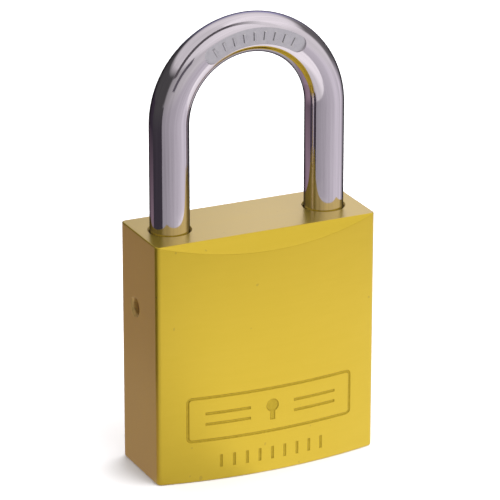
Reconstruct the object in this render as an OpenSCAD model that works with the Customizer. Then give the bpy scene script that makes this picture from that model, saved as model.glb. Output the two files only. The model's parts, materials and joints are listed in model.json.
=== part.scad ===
// Safety padlock: solid block body, round shackle, two locking balls and a six-pin cylinder.
// Units are millimetres. Z is up, the front of the lock faces -Y, the heel leg is at -X.
// Drawn closed and unlocked: the plug stands at its open angle and both balls are drawn in.

/* [Body] */
// Width of the block
body_w = 38.1; // [30:0.1:60]
// Height of the block
body_h = 40.3; // [30:0.1:60]
// Thickness along the two narrow sides
side_t = 13.7; // [11:0.1:24]
// How far the front and the back each bulge out at the middle
bulge = 2.25; // [0.8:0.05:5]
// Radius of the four upright edges
edge_r = 0.9; // [0.3:0.1:2]
// How far the sloped top facet reaches down at the middle
facet_drop = 2.6; // [1:0.1:6]

/* [Engraving] */
// Depth of the engraving on the front
engrave_depth = 0.15; // [0.1:0.05:0.3]
// Height of the middle of the engraved frame
mark_z = 10.7; // [8:0.1:14]
// Width of the frame
frame_w = 29; // [24:0.5:31]
// Height of the frame
frame_h = 7.8; // [6:0.1:10]
// Width of every engraved line
line_w = 0.5; // [0.3:0.05:0.8]
// Length of each bar in the frame
mark_bar_l = 7.6; // [4:0.1:8]
// Length of each tick below the frame
tick_l = 2.2; // [1:0.1:3]
// Distance from one tick to the next
tick_pitch = 2.2; // [1.5:0.1:3]
// Height of the middle of the ticks
tick_z = 3.2; // [2.5:0.1:4]

/* [Shackle] */
// Diameter of the shackle bar
bar_d = 6.35; // [5:0.05:10]
// Distance between the two leg centres
leg_gap = 26.9; // [24:0.1:34]
// Sideways position of the middle of the shackle
shackle_x = -0.2; // [-1:0.1:1]
// Height of the centre of the arch above the base
arch_z = 57.5; // [50:0.1:110]
// Gap round each leg inside its bore
leg_play = 0.1; // [0.05:0.01:0.1]
// How deep the toe leg sits in the body
toe_depth = 11; // [10:0.5:12]
// Diameter of the neck near the end of the heel leg
neck_d = 3.5; // [3:0.1:3.6]
// Depth of the stamped flat on the arch
stamp_depth = 0.35; // [0.1:0.05:0.5]

/* [Heel pin] */
// Diameter of the cross hole in the narrow side
pin_hole_d = 2.6; // [2.2:0.1:3]
// Diameter of its countersink at the surface
sink_d = 3.4; // [2.8:0.1:4]
// Height of the cross hole above the base
pin_hole_z = 27.6; // [26:0.1:29]
// Distance of the cross hole behind the middle plane
pin_hole_y = 1.5; // [0:0.1:1.6]
// How far the pin is sunk below the side
pin_sunk = 1; // [0.4:0.1:1.2]

/* [Locking balls] */
// Diameter of each locking ball
ball_d = 5.5; // [5:0.1:6]
// Height of the ball centres above the base
ball_z = 34.4; // [34:0.1:35]
// How far each ball goes past the bore wall when locked
ball_bite = 1.4; // [1:0.1:1.5]

/* [Cylinder] */
// Diameter of the plug
plug_d = 11; // [10:0.1:12]
// Outer diameter of the cylinder shell
shell_d = 14; // [13.4:0.1:15]
// Width of the block of the shell that holds the drivers
bible_w = 8; // [6:0.1:9]
// Width of the keyway
keyway_w = 2; // [1.6:0.1:2.2]
// Diameter of the pins
pin_d = 2.5; // [2:0.1:2.6]
// Distance from one pin to the next
pin_pitch = 3.7; // [3.4:0.1:3.8]
// Height of the first pin above the base
pin_first = 4.1; // [4:0.1:4.6]
// Length of a driver pin
driver_l = 3.6; // [3:0.1:4.2]

/* [Hidden] */
$fn = 96;
// Length that reaches past everything.
far = 80;
bar_r = bar_d / 2;
bore_r = bar_r + leg_play;
arch_r = leg_gap / 2;
heel_x = shackle_x - arch_r;
toe_x = shackle_x + arch_r;
toe_end = body_h - toe_depth;
// Outline of the block: two big arcs and four small corner arcs that touch them.
face_r = (body_w * body_w / 4 + bulge * bulge) / (2 * bulge);
face_c = face_r - side_t / 2 - bulge;
// Radius beyond edge_r that makes a corner arc cross its neighbours.
arc_overlap = 0.006;
corner_x = body_w / 2 - edge_r;
corner_y = sqrt((face_r - edge_r) * (face_r - edge_r) - corner_x * corner_x) - face_c;
// Keyhole sign in the engraved frame, a disc on a stem, and the bars beside it.
key_sign_r = 1.1;
key_stem_w = 0.9;
key_stem_h = 2.2;
key_sign_rise = 0.7;
mark_bar_rise = 0.9;
// Chamfer at the mouth of each shackle bore.
bore_chamfer = 0.25;
// Heel leg, from the shoulder down.
pin_r = pin_hole_d / 2;
shoulder_z = pin_hole_z + pin_r + 0.75;
lift_max = 12.4;
flange_top = pin_hole_z - pin_r - lift_max - 0.15;
flange_h = 2.5;
heel_end = flange_top - flange_h;
pilot_r = 1.6;
pilot_h = 1.6;
toe_chamfer = 0.6;
heel_floor = heel_end - 6.2;
// Countersink of the cross hole, and the gap between the pin and the neck.
sink_depth = 0.4;
neck_gap = 0.2;
// Stamped flat: half of its width, where it starts on the arch and how far it goes round.
stamp_half = 1.36;
stamp_from = 57;
stamp_turn = 66;
// Shackle spring: half turns of wire.
shackle_coil_r = 2.3;
shackle_wire_r = 0.4;
shackle_halves = 8;
shackle_rise = 0.675;
// Balls and cam.
ball_r = ball_d / 2;
ball_in = arch_r - bore_r - ball_r - 0.12;
ball_out = arch_r - bore_r + ball_bite - ball_r;
cam_gap = 0.05;
cam_base_h = 2.9;
cam_top = ball_z + 3.2;
channel_r = ball_r + 0.06;
notch_r = ball_r + 0.15;
cam_max = ball_out - ball_r - cam_gap - 0.02;
cam_bore = cam_max + 0.15;
// Cylinder.
plug_r = plug_d / 2;
shell_r = shell_d / 2;
shell_low = 0.5;
shell_top = 26.4;
plug_top = 28.3;
bible_end = 15.7;
cover_in = 15;
chamber_r = pin_d / 2 + 0.05;
shear = plug_r + 0.06;
driver_end = shear + driver_l;
toe_floor = toe_end - 1.4;
chamber_depth = 1.9;
fit_gap = 0.05;
// Front flange of the plug, and the groove round its far end for the clip.
flange_out = 0.7;
flange_t = 1;
clip_t = 0.7;
clip_groove = 0.8;
clip_opening = 6.8;
// Tongue of the plug in the slot of the cam.
tongue_l = 8.6;
tongue_w = 2.5;
tongue_h = 2;
// Keyway: where it starts and ends across the plug, and the ward in its side.
keyway_h = 8.4;
keyway_low = -3.6;
ward_low = 1;
ward_h = 1.1;
// Strip that closes the spring chambers.
cover_t = 0.4;
cover_w = 4;
// Screw that holds the cylinder.
screw_r = 1.25;
screw_hole_r = 1.35;
screw_head_r = 2.4;
screw_head_h = 1.1;
// Ends of the pins, and the springs behind the drivers.
tumbler_r = pin_d / 2;
tip_l = 0.8;
collar_l = 0.7;
pin_spring_r = 0.95;
pin_wire_r = 0.18;
pin_halves = 10;

// Lengths of the six key pins, from a plain cut pattern.
function key_len(i) = 4.6 + 0.4 * ((i * 3) % 5);
function pin_z(i) = pin_first + (i - 1) * pin_pitch;

// Distance from the cam axis to a ball that has come out by the share of a quarter turn.
function ball_at(a) = ball_in + (ball_out - ball_in) * abs(a) / 90;
// Where a ray from the axis meets the ball standing at angle a.
function ball_hit(p, a) =
  let (c = ball_at(a), s = c * sin(p - a), q = ball_r + cam_gap)
  (abs(s) < q && cos(p - a) > 0) ? c * cos(p - a) - sqrt(q * q - s * s) : far;
function cam_r(p) = min([for (a = [-90:6:90]) min(cam_max, ball_hit(p, a), ball_hit(p + 180, a))]);

// Part of the outline outside one rounded corner. The corner arc is a hair larger than the
// one that would only touch its neighbours, so that it crosses them cleanly.
module corner_waste() {
  dx = corner_x;
  dy = corner_y + face_c;
  difference() {
    polygon([
      [corner_x, corner_y],
      [corner_x + dx, corner_y + dy],
      [corner_x + dx + far, corner_y + dy],
      [corner_x + dx + far, corner_y]
    ]);
    translate([corner_x, corner_y])
      circle(r = edge_r + arc_overlap);
  }
}

module outline() {
  difference() {
    intersection() {
      square([body_w, far], center = true);
      translate([0, face_c])
        circle(r = face_r, $fn = 360);
      translate([0, -face_c])
        circle(r = face_r, $fn = 360);
    }
    corner_waste();
    mirror([1, 0])
      corner_waste();
    mirror([0, 1])
      corner_waste();
    mirror([1, 0])
      mirror([0, 1])
        corner_waste();
  }
}

// Sloped top facet: cuts the bulge away above a plane that starts at the straight top edge.
module facet() {
  slope = atan(facet_drop / bulge);
  translate([0, -side_t / 2, body_h])
    rotate([slope, 0, 0])
      translate([-far / 2, -far / 2, 0])
        cube([far, far, far / 2]);
}

module frame_shape(w, h, line) {
  difference() {
    square([w, h], center = true);
    square([w - 2 * line, h - 2 * line], center = true);
  }
}

// Engraving tool: flat shapes pushed into the front face, all to the same depth.
module engraving() {
  difference() {
    rotate([90, 0, 0])
      linear_extrude(height = side_t)
        union() {
          translate([0, mark_z])
            frame_shape(frame_w, frame_h, line_w);
          for (i = [-1, 1])
            for (j = [-1, 1])
              translate([i * mark_bar_l, mark_z + j * mark_bar_rise])
                square([mark_bar_l, line_w], center = true);
          translate([0, mark_z + key_sign_rise])
            circle(r = key_sign_r, $fn = 48);
          translate([0, mark_z - key_sign_rise])
            square([key_stem_w, key_stem_h], center = true);
          for (i = [-4:4])
            translate([i * tick_pitch, tick_z])
              square([line_w, tick_l], center = true);
        }
    translate([0, face_c, -far / 2])
      cylinder(r = face_r - engrave_depth, h = far, $fn = 360);
  }
}

module bore(x, low) {
  translate([x, 0, low])
    cylinder(r = bore_r, h = far);
  translate([x, 0, body_h - bore_chamfer])
    cylinder(r1 = bore_r, r2 = bore_r + bore_chamfer + 0.05, h = bore_chamfer + 0.05);
}

// Pocket for the cylinder, open underneath.
module cylinder_room() {
  translate([shackle_x, 0, -1])
    cylinder(r = shell_r + fit_gap, h = plug_top + 0.6);
  translate([shackle_x, -bible_w / 2 - fit_gap, -1])
    cube([bible_end + fit_gap, bible_w + 2 * fit_gap, shell_top + 1]);
}

module body() {
  color([0.85, 0.72, 0.25])
    difference() {
      linear_extrude(height = body_h)
        outline();
      facet();
      mirror([0, 1, 0])
        facet();
      bore(heel_x, heel_floor);
      bore(toe_x, toe_floor);
      translate([heel_x, 0, ball_z])
        rotate([0, 90, 0])
          cylinder(r = channel_r, h = leg_gap);
      translate([shackle_x, 0, plug_top - 0.6])
        cylinder(r = cam_bore, h = cam_top - plug_top + 0.8);
      cylinder_room();
      translate([heel_x, pin_hole_y, pin_hole_z])
        rotate([0, -90, 0])
          cylinder(r = pin_r, h = body_w / 2);
      translate([-body_w / 2 + sink_depth, pin_hole_y, pin_hole_z])
        rotate([0, -90, 0])
          cylinder(r1 = pin_r, r2 = sink_d - pin_r, h = 2 * sink_depth);
      translate([toe_x, 0, shell_top - 0.2])
        cylinder(r = screw_hole_r, h = 4);
      engraving();
    }
}

// Tool for the stamped flat: a strip along the arch with a round end at each side.
module stamp() {
  rotate_extrude(angle = stamp_turn)
    translate([arch_r - stamp_half, bar_r - stamp_depth])
      square([2 * stamp_half, 2]);
  for (a = [0, stamp_turn])
    rotate([0, 0, a])
      translate([arch_r, 0, bar_r - stamp_depth])
        cylinder(r = stamp_half + 0.05, h = 2);
}

module leg(x, low) {
  translate([x, 0, low])
    cylinder(r = bar_r, h = arch_z - low);
}

// Notch that a ball goes into, cut across a leg at x.
module notch(x) {
  translate([x, -5, ball_z])
    rotate([-90, 0, 0])
      cylinder(r = notch_r, h = 10);
}

module shackle() {
  color([0.78, 0.78, 0.8])
    difference() {
      union() {
        translate([shackle_x, 0, arch_z])
          rotate([90, 0, 0])
            rotate_extrude(angle = 180)
              translate([arch_r, 0])
                circle(r = bar_r);
        leg(heel_x, shoulder_z);
        leg(toe_x, toe_end + toe_chamfer);
        translate([toe_x, 0, toe_end])
          cylinder(r1 = bar_r - toe_chamfer, r2 = bar_r, h = toe_chamfer);
        translate([heel_x, 0, flange_top])
          cylinder(d = neck_d, h = shoulder_z - flange_top);
        translate([heel_x, 0, heel_end])
          cylinder(r = bar_r, h = flange_h);
        translate([heel_x, 0, heel_end - pilot_h])
          cylinder(r = pilot_r, h = pilot_h);
      }
      notch(shackle_x - ball_out);
      notch(shackle_x + ball_out);
      translate([shackle_x, 0, arch_z])
        rotate([90, 0, 0])
          rotate([0, 0, stamp_from])
            stamp();
    }
}

module heel_pin() {
  color([0.5, 0.5, 0.52])
    translate([-body_w / 2 + pin_sunk, pin_hole_y, pin_hole_z])
      rotate([0, 90, 0])
        cylinder(r = pin_r, h = body_w / 2 - pin_sunk + heel_x - neck_d / 2 - neck_gap);
}

// Spring of half turns that climb one after another.
module coil(rad, wire, halves, rise) {
  tilt = asin(rise / (2 * rad));
  for (i = [0:halves - 1])
    translate([0, 0, (i + 0.5) * rise])
      rotate([0, 0, 180 * i])
        rotate([0, tilt, 0])
          rotate_extrude(angle = 180)
            translate([rad, 0])
              circle(r = wire, $fn = 24);
}

module shackle_spring() {
  color([0.6, 0.6, 0.62])
    translate([heel_x, 0, heel_floor + shackle_wire_r])
      coil(shackle_coil_r, shackle_wire_r, shackle_halves, shackle_rise);
}

// Locking ball on one side: -1 is the heel leg, 1 is the toe leg.
module ball(side) {
  color([0.7, 0.7, 0.72])
    translate([shackle_x + side * ball_in, 0, ball_z])
      sphere(r = ball_r);
}

module ball_heel() {
  ball(-1);
}

module ball_toe() {
  ball(1);
}

// Cam: a round base, a profile that pushes the balls out, and a slot for the plug's tongue.
module cam() {
  color([0.55, 0.5, 0.45])
    translate([shackle_x, 0, 0])
      difference() {
        union() {
          translate([0, 0, plug_top])
            cylinder(r = cam_max, h = cam_base_h);
          translate([0, 0, plug_top + cam_base_h])
            linear_extrude(height = cam_top - plug_top - cam_base_h)
              polygon([for (p = [0:5:355]) [cam_r(p) * cos(p), cam_r(p) * sin(p)]]);
        }
        translate([-tongue_l / 2 - 0.2, -tongue_w / 2 - fit_gap, plug_top - 1])
          cube([tongue_l + 0.4, tongue_w + 2 * fit_gap, tongue_h + 1.2]);
      }
}

// Housing of the cylinder: a tube with a block beside it that holds the drivers and springs.
module cylinder_shell() {
  color([0.8, 0.65, 0.35])
    translate([shackle_x, 0, 0])
      difference() {
        union() {
          translate([0, 0, shell_low])
            cylinder(r = shell_r, h = shell_top - shell_low);
          translate([0, -bible_w / 2, shell_low])
            cube([bible_end, bible_w, shell_top - shell_low]);
        }
        translate([0, 0, -1])
          cylinder(r = plug_r + fit_gap, h = far);
        translate([0, 0, -1])
          cylinder(r = plug_r + flange_out + fit_gap, h = shell_low + flange_t + 1 + fit_gap);
        for (i = [1:6])
          translate([0, 0, pin_z(i)])
            rotate([0, 90, 0])
              cylinder(r = chamber_r, h = cover_in + 0.1);
        translate([cover_in, -cover_w / 2, -1])
          cube([cover_t, cover_w, shell_top - 0.5]);
        translate([cover_in + 0.3, -cover_w / 2 + 0.5, -1])
          cube([2, cover_w - 1, shell_top - 0.5]);
        translate([toe_x - shackle_x, 0, shell_top - 2])
          cylinder(r = screw_r, h = 4);
      }
}

module spring_cover() {
  color([0.85, 0.75, 0.45])
    translate([shackle_x + cover_in, -cover_w / 2, shell_low])
      cube([cover_t, cover_w, shell_top - shell_low - 1.5]);
}

// Plug: turns in the shell, with the keyway, six pin chambers and a tongue for the cam.
module plug() {
  color([0.85, 0.7, 0.35])
    translate([shackle_x, 0, 0])
      difference() {
        union() {
          translate([0, 0, shell_low])
            cylinder(r = plug_r, h = plug_top - shell_low);
          translate([0, 0, shell_low])
            cylinder(r = plug_r + flange_out, h = flange_t);
          translate([-tongue_l / 2, -tongue_w / 2, plug_top])
            cube([tongue_l, tongue_w, tongue_h]);
        }
        difference() {
          translate([0, 0, shell_top + 0.1])
            cylinder(r = plug_r + 1, h = clip_t + 0.1);
          translate([0, 0, shell_top])
            cylinder(r = plug_r - clip_groove, h = 1);
        }
        translate([-keyway_w / 2, keyway_low, -1])
          cube([keyway_w, keyway_h, shell_top - 1]);
        translate([0, ward_low, -1])
          cube([keyway_w / 2 + 0.6, ward_h, shell_top - 1]);
        for (i = [1:6])
          translate([0, chamber_depth, pin_z(i)])
            rotate([90, 0, 0])
              cylinder(r = chamber_r, h = plug_r + 3);
      }
}

// Open ring in the plug's groove, which keeps the plug from coming out forwards.
module plug_clip() {
  color([0.45, 0.45, 0.47])
    translate([shackle_x, 0, shell_top + 0.1])
      difference() {
        cylinder(r = shell_r - 0.5, h = clip_t);
        translate([0, 0, -1])
          cylinder(r = plug_r - clip_groove, h = 3);
        translate([-far, -clip_opening / 2, -1])
          cube([far, clip_opening, 3]);
      }
}

// Screw in the floor of the toe bore, slotted, with a plain shank.
module cylinder_screw() {
  color([0.4, 0.4, 0.42])
    translate([toe_x, 0, 0])
      difference() {
        union() {
          translate([0, 0, shell_top - 2])
            cylinder(r = screw_r, h = toe_floor - shell_top + 2.2);
          translate([0, 0, toe_floor])
            cylinder(r = screw_head_r, h = screw_head_h);
        }
        translate([-3, -0.3, toe_floor + screw_head_h / 2])
          cube([6, 0.6, 2]);
      }
}

// Key pin i: chamfered outer end, cone towards the keyway.
module key_pin(i) {
  l = key_len(i);
  color([0.85, 0.6, 0.35])
    translate([shackle_x, -plug_r + 0.06, pin_z(i)])
      rotate([-90, 0, 0]) {
        cylinder(r1 = tumbler_r - 0.25, r2 = tumbler_r, h = 0.25);
        translate([0, 0, 0.25])
          cylinder(r = tumbler_r, h = l - 0.25 - tip_l);
        translate([0, 0, l - tip_l])
          cylinder(r1 = tumbler_r, r2 = 0.5, h = tip_l);
      }
}

// Driver pin: plain, or with a waist between two collars.
module driver_pin(i) {
  waist = (i % 2 == 0) ? 0.35 : 0.05;
  color([0.75, 0.72, 0.68])
    translate([shackle_x + shear, 0, pin_z(i)])
      rotate([0, 90, 0]) {
        cylinder(r1 = tumbler_r - 0.2, r2 = tumbler_r, h = 0.2);
        translate([0, 0, 0.2])
          cylinder(r = tumbler_r, h = collar_l);
        translate([0, 0, collar_l + 0.2])
          cylinder(r = tumbler_r - waist, h = driver_l - 2 * collar_l - 0.2);
        translate([0, 0, driver_l - collar_l])
          cylinder(r = tumbler_r, h = collar_l);
      }
}

// Spring between driver pin i and the cover.
module pin_spring(i) {
  room = cover_in - driver_end - 2 * pin_wire_r;
  color([0.65, 0.65, 0.67])
    translate([shackle_x + driver_end + pin_wire_r, 0, pin_z(i)])
      rotate([0, 90, 0])
        coil(pin_spring_r, pin_wire_r, pin_halves, room / pin_halves);
}

body();
shackle();
heel_pin();
shackle_spring();
ball_heel();
ball_toe();
cam();
cylinder_shell();
plug();
plug_clip();
cylinder_screw();
spring_cover();
key_pin(1);  // key_pin_1
key_pin(2);  // key_pin_2
key_pin(3);  // key_pin_3
key_pin(4);  // key_pin_4
key_pin(5);  // key_pin_5
key_pin(6);  // key_pin_6
driver_pin(1);  // driver_pin_1
driver_pin(2);  // driver_pin_2
driver_pin(3);  // driver_pin_3
driver_pin(4);  // driver_pin_4
driver_pin(5);  // driver_pin_5
driver_pin(6);  // driver_pin_6
pin_spring(1);  // pin_spring_1
pin_spring(2);  // pin_spring_2
pin_spring(3);  // pin_spring_3
pin_spring(4);  // pin_spring_4
pin_spring(5);  // pin_spring_5
pin_spring(6);  // pin_spring_6
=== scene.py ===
import json
import math

import bpy
import numpy as np
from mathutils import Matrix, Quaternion, Vector
from mathutils.geometry import delaunay_2d_cdt

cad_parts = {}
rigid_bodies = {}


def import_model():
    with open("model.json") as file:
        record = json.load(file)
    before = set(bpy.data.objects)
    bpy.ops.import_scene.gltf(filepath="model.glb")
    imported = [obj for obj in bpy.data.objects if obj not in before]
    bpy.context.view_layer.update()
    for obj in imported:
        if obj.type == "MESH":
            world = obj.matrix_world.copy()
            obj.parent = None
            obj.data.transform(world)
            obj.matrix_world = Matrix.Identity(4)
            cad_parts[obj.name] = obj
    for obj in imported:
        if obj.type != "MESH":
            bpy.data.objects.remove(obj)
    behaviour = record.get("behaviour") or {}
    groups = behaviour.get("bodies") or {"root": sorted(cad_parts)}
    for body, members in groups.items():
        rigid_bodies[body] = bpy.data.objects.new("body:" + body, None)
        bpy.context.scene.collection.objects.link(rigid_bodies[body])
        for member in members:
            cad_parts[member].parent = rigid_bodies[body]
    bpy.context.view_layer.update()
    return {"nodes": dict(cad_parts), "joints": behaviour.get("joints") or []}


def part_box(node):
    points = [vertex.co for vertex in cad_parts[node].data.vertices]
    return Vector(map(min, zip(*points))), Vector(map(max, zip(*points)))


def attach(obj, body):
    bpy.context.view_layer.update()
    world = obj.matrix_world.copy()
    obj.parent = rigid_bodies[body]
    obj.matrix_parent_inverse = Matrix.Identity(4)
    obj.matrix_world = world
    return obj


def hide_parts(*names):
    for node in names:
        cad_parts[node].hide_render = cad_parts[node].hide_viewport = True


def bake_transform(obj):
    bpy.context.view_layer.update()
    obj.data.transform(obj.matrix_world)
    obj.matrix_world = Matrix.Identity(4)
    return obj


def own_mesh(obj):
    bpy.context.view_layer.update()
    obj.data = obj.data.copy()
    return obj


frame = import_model()

MM = 0.001
TAU = 2 * math.pi
ROUND_N = 96                             # points round a bore or round the bar
SMALL_N = 48                             # points round a small hole


# ---------------------------------------------------------------- sizes
def node_box(name):
    lo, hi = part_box(name)
    return np.array(lo) / MM, np.array(hi) / MM


BODY_LO, BODY_HI = node_box("body")
SH_LO, SH_HI = node_box("shackle")
PIN_LO, PIN_HI = node_box("heel_pin")
BALL_LO, BALL_HI = node_box("ball_toe")
SHELL_TOP = node_box("cylinder_shell")[1][2]
SCREW_TOP = node_box("cylinder_screw")[1][2]
TONGUE_H = 2.0                           # height of the plug's tongue, which goes into the cam
PLUG_TOP = node_box("plug")[1][2] - TONGUE_H
CAM_TOP = node_box("cam")[1][2]
HEEL_FLOOR = node_box("shackle_spring")[0][2]
W = BODY_HI[0] - BODY_LO[0]
H = BODY_HI[2]
T_MID = BODY_HI[1]                       # half thickness at the middle
BAR_R = (SH_HI[1] - SH_LO[1]) / 2
SH_X = (SH_LO[0] + SH_HI[0]) / 2
ARCH_R = (SH_HI[0] - SH_LO[0]) / 2 - BAR_R
ARCH_Z = SH_HI[2] - ARCH_R - BAR_R
PIN_Y = (PIN_LO[1] + PIN_HI[1]) / 2
PIN_Z = (PIN_LO[2] + PIN_HI[2]) / 2
PIN_R = (PIN_HI[2] - PIN_LO[2]) / 2
HEEL_X, TOE_X = SH_X - ARCH_R, SH_X + ARCH_R
BORE_R = BAR_R + 0.1                     # 0.1 mm of play round each leg
BORE_RIM = 0.25                          # chamfer at the mouth of each bore
TOE_DEPTH = 11.0                         # how deep the toe leg sits in the block
TOE_FLOOR = SCREW_TOP - 1.1              # under the head of the cylinder's screw
BALL_R = (BALL_HI[2] - BALL_LO[2]) / 2
BALL_Z = (BALL_HI[2] + BALL_LO[2]) / 2
CHANNEL_R = BALL_R + 0.06
CAM_R = 6.155                            # radius of the room that the cam turns in
SIDE_T = 6.85                            # half thickness along the narrow sides
BULGE = T_MID - SIDE_T
FACET_DROP = 2.6                         # height of the sloped facet at the middle of the front
EDGE_R = 0.9                             # rounding of the upright edges
FACE_R = (W * W / 4 + BULGE * BULGE) / (2 * BULGE)
FACE_C = FACE_R - T_MID                  # how far the arc's centre lies behind the middle


# ---------------------------------------------------------------- mesh helpers
NO_AREA = 1e-9


def make(name, verts, faces, normals=None, mats=(), face_mat=None, smooth=True, body=None):
    """A mesh object from millimetre vertices, with its own vertex normals where they are given."""
    me = bpy.data.meshes.new(name)
    me.from_pydata([tuple(c * MM for c in v) for v in verts], [], faces)
    for m in mats:
        me.materials.append(m)
    if smooth:
        me.polygons.foreach_set("use_smooth", [True] * len(me.polygons))
    if face_mat is not None:
        me.polygons.foreach_set("material_index", list(face_mat))
    me.update()
    if normals is not None:
        me.normals_split_custom_set_from_vertices([tuple(Vector(n).normalized()) for n in normals])
    ob = bpy.data.objects.new(name, me)
    bpy.context.scene.collection.objects.link(ob)
    if body:
        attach(ob, body)
    return ob


def area_vector(p):
    """Normal of a flat outline of points, as long as twice its area."""
    sides = (np.cross(p[k] - p[0], p[k + 1] - p[0]) for k in range(1, len(p) - 1))
    return sum(sides, np.zeros(3))


class Build:
    """Collects vertices, normals and faces in millimetres."""

    def __init__(self):
        self.v, self.n, self.f, self.m = [], [], [], []

    def grid(self, pts, nrm, closed=False, mat=0):
        """Quads over pts[u][v], which run round to the first u again if closed."""
        pts, nrm = np.asarray(pts, float), np.asarray(nrm, float)
        nu, nv = pts.shape[:2]
        base = len(self.v)
        self.v += [tuple(p) for p in pts.reshape(-1, 3)]
        self.n += [tuple(p) for p in nrm.reshape(-1, 3)]
        for i in range(nu if closed else nu - 1):
            for j in range(nv - 1):
                a, b = base + i * nv + j, base + ((i + 1) % nu) * nv + j
                self.add((a, b, b + 1, a + 1), mat)

    def add(self, f, mat=0):
        """One face, wound to suit its vertices' normals. A face without area is left out."""
        area = area_vector([np.array(self.v[i]) for i in f])
        if np.linalg.norm(area) < NO_AREA:
            return
        want = sum((np.array(self.n[i]) for i in f), np.zeros(3))
        self.f.append(tuple(f) if area @ want > 0 else tuple(reversed(f)))
        self.m.append(mat)

    def flat(self, corners, towards, mat):
        """One face with its own flat normal, turned to the side of `towards`."""
        p = [np.array(c, float) for c in corners]
        n = area_vector(p)
        if np.linalg.norm(n) < NO_AREA:
            return
        n = unit(n) if n @ np.array(towards) > 0 else -unit(n)
        base = len(self.v)
        self.v += [tuple(c) for c in p]
        self.n += [tuple(n)] * len(p)
        self.add(tuple(range(base, base + len(p))), mat)

    def patch(self, loops, place, normal, inside=None, dots=(), mat=0, rough=None):
        """Triangles over 2-D loops, put in space by place(x, y) with normal(x, y). The first loop
        is the outside and the others are holes, unless `inside` says otherwise. Where rough(x, y)
        is true at a triangle's middle, the triangle is flat and has material 1."""
        co, faces = [], []
        for lp in loops:
            turn = sum(p[0] * q[1] - q[0] * p[1] for p, q in zip(lp, lp[1:] + lp[:1]))
            faces.append(list(range(len(co), len(co) + len(lp))))
            co += [Vector(p) for p in (lp if turn > 0 else lp[::-1])]    # always counter-clockwise
        co += [Vector(p) for p in dots]
        vs, _, fs, _, _, src = delaunay_2d_cdt(co, [], faces, 1, 1e-5)
        keep = inside or (lambda s: s == {0})
        base = len(self.v)
        self.v += [tuple(place(p.x, p.y)) for p in vs]
        self.n += [tuple(normal(p.x, p.y)) for p in vs]
        for f, s in zip(fs, src):
            if not keep(set(s)):
                continue
            mid = sum((vs[i] for i in f), Vector((0, 0))) / len(f)
            if rough and rough(mid.x, mid.y):
                self.flat([self.v[base + i] for i in f], normal(mid.x, mid.y), 1)
            else:
                self.add(tuple(base + i for i in f), mat)

    def done(self, name, mats, body):
        return make(name, self.v, self.f, self.n, mats, self.m, body=body)


def circle(x, y, r, n=ROUND_N):
    return [(x + r * math.cos(TAU * k / n), y + r * math.sin(TAU * k / n)) for k in range(n)]


def unit(v):
    v = np.asarray(v, float)
    return v / max(np.linalg.norm(v), 1e-12)


def lathe(build, profile, centre, axis, mat=0, n=ROUND_N, creases=()):
    """Turns (radius, height) pairs round an axis; each stretch between two creases is smooth."""
    a = unit(axis)
    u = unit(np.cross(a, (0, 0, 1) if abs(a[2]) < 0.9 else (1, 0, 0)))
    w = np.cross(a, u)
    pts = np.array(profile, float)
    cuts = [0] + sorted(creases) + [len(pts) - 1]
    for lo, hi in zip(cuts[:-1], cuts[1:]):
        seg = pts[lo:hi + 1]
        tan = np.gradient(seg, axis=0) if len(seg) > 2 else np.repeat([seg[-1] - seg[0]], 2, 0)
        ring_p, ring_n = [], []
        for k in range(n):
            d = u * math.cos(TAU * k / n) + w * math.sin(TAU * k / n)
            ring_p.append([np.array(centre) + d * r + a * h for r, h in seg])
            ring_n.append([unit(d * th - a * tr) for tr, th in tan])
        build.grid(ring_p, ring_n, closed=True, mat=mat)


# ---------------------------------------------------------------- materials
def ramp_points(node, points):
    el = node.color_ramp.elements
    while len(el) > len(points):
        el.remove(el[-1])
    while len(el) < len(points):
        el.new(1.0)
    for e, (pos, col) in zip(el, points):
        e.position = pos
        e.color = (*col, 1.0)


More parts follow.
